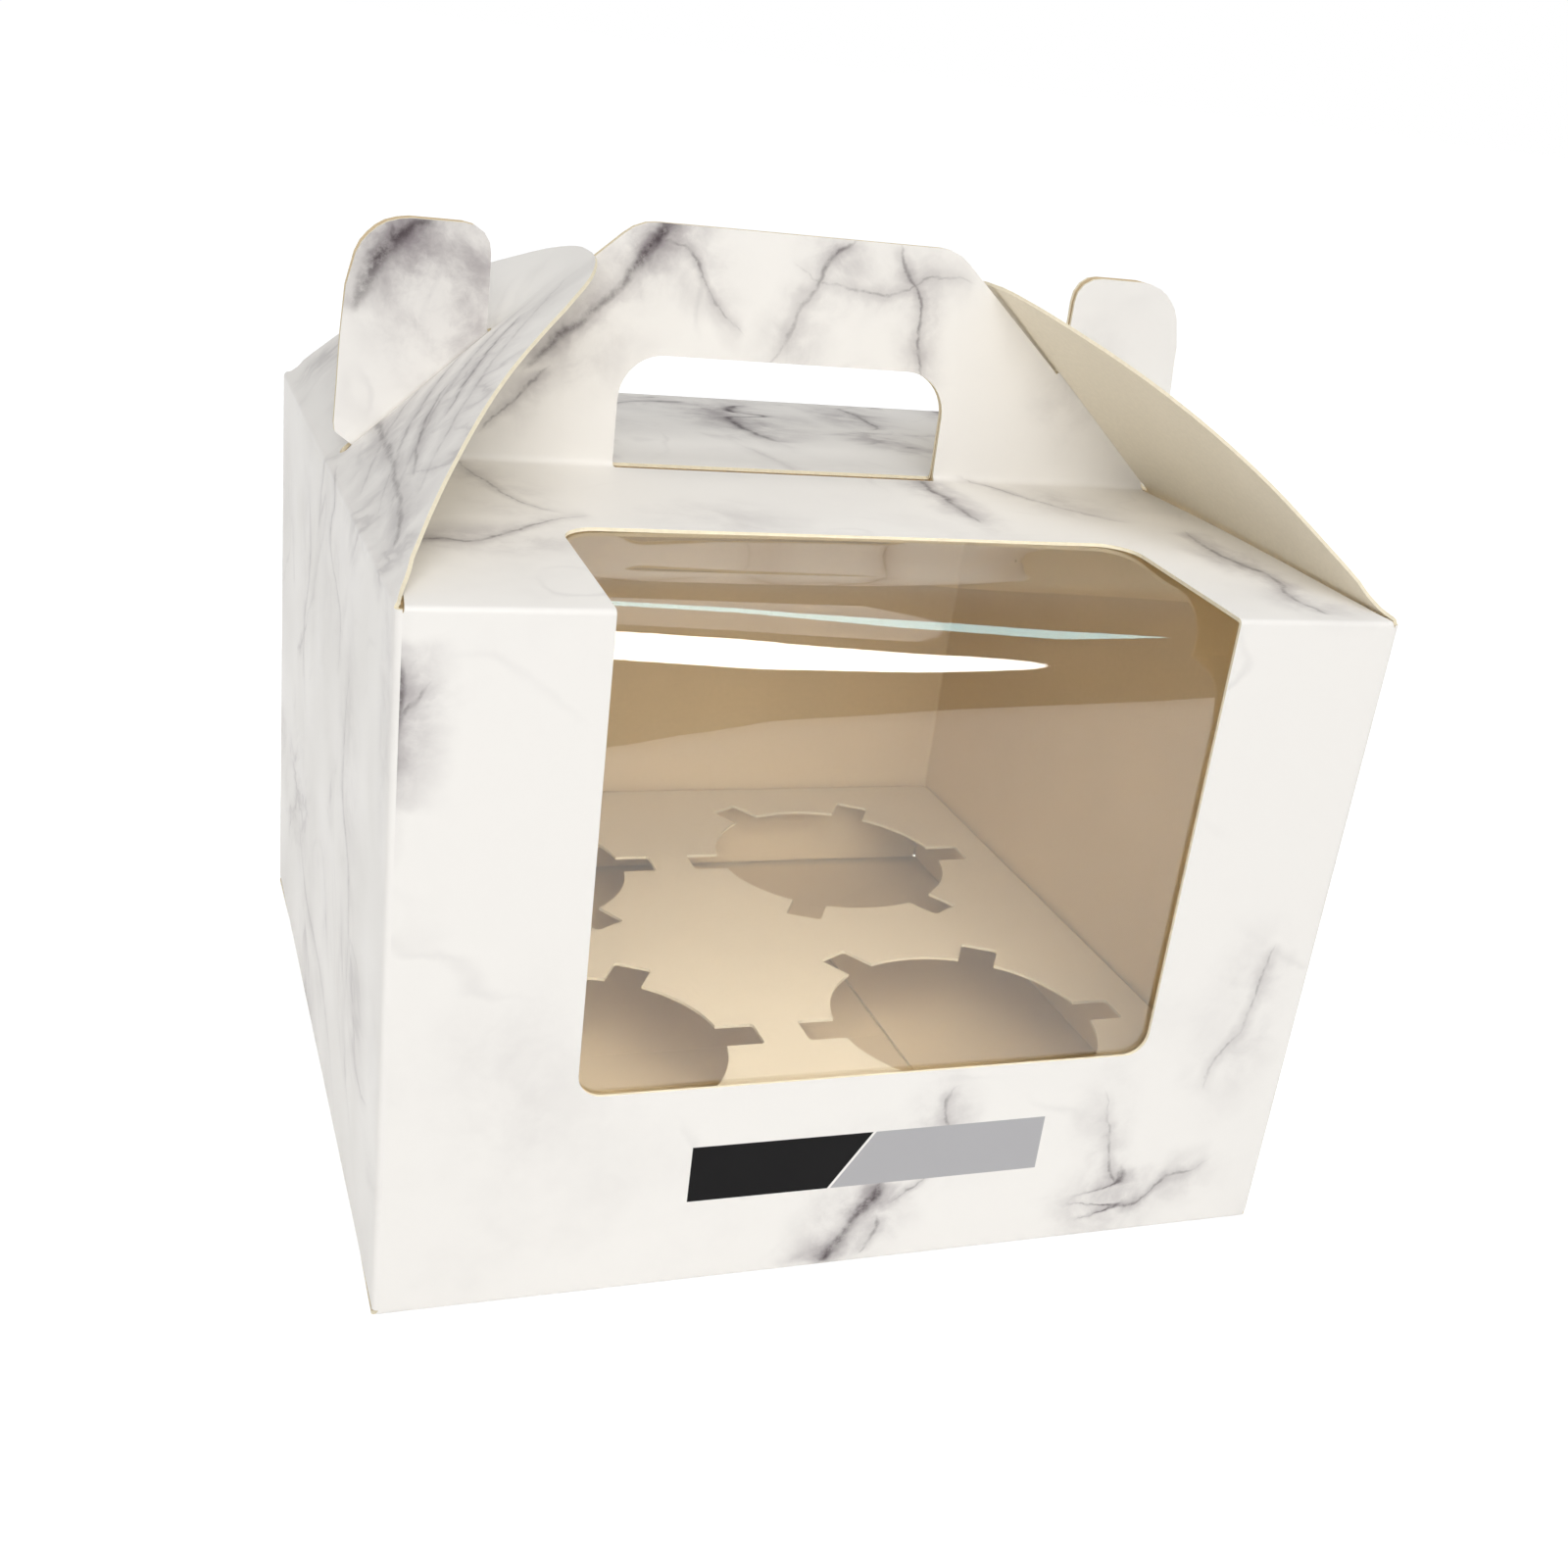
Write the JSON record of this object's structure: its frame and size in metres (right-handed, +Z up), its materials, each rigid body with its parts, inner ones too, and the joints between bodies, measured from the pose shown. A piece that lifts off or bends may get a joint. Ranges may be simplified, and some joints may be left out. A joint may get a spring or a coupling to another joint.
{
  "type": "carry box for four cupcakes",
  "caption": "Marble-print card cupcake box with a folded carry handle, two lock flaps, a wrap-over window and an insert with four cup holes.",
  "frame": {"origin": "centre of the box's footprint, at the underside of the bottom flaps", "axes": "+X to the right as seen from the window, +Y from the window to the back wall, +Z up"},
  "size_m": [0.16, 0.16, 0.1583],
  "materials": {
    "printed_card": "satin coated card with a white and grey marble print outside, unprinted cream inside",
    "plain_card": "unprinted cream card",
    "clear_film": "clear glossy film"
  },
  "bodies": {
    "box": {"carton": "printed_card", "cup_insert": "plain_card", "window_film": "clear_film"},
    "left_flap": {"left_lock_flap": "printed_card"},
    "right_flap": {"right_lock_flap": "printed_card"}
  },
  "joints": [
    {"name": "left_flap_fold", "type": "hinge", "parent": "box", "child": "left_flap", "pos_m": [-0.0797, 0, 0.1149], "axis": [0, -1, 0], "range_deg": [0, 130], "deforming": ["left_lock_flap"]},
    {"name": "right_flap_fold", "type": "hinge", "parent": "box", "child": "right_flap", "pos_m": [0.0797, 0, 0.1149], "axis": [0, 1, 0], "range_deg": [0, 130], "deforming": ["right_lock_flap"]}
  ]
}
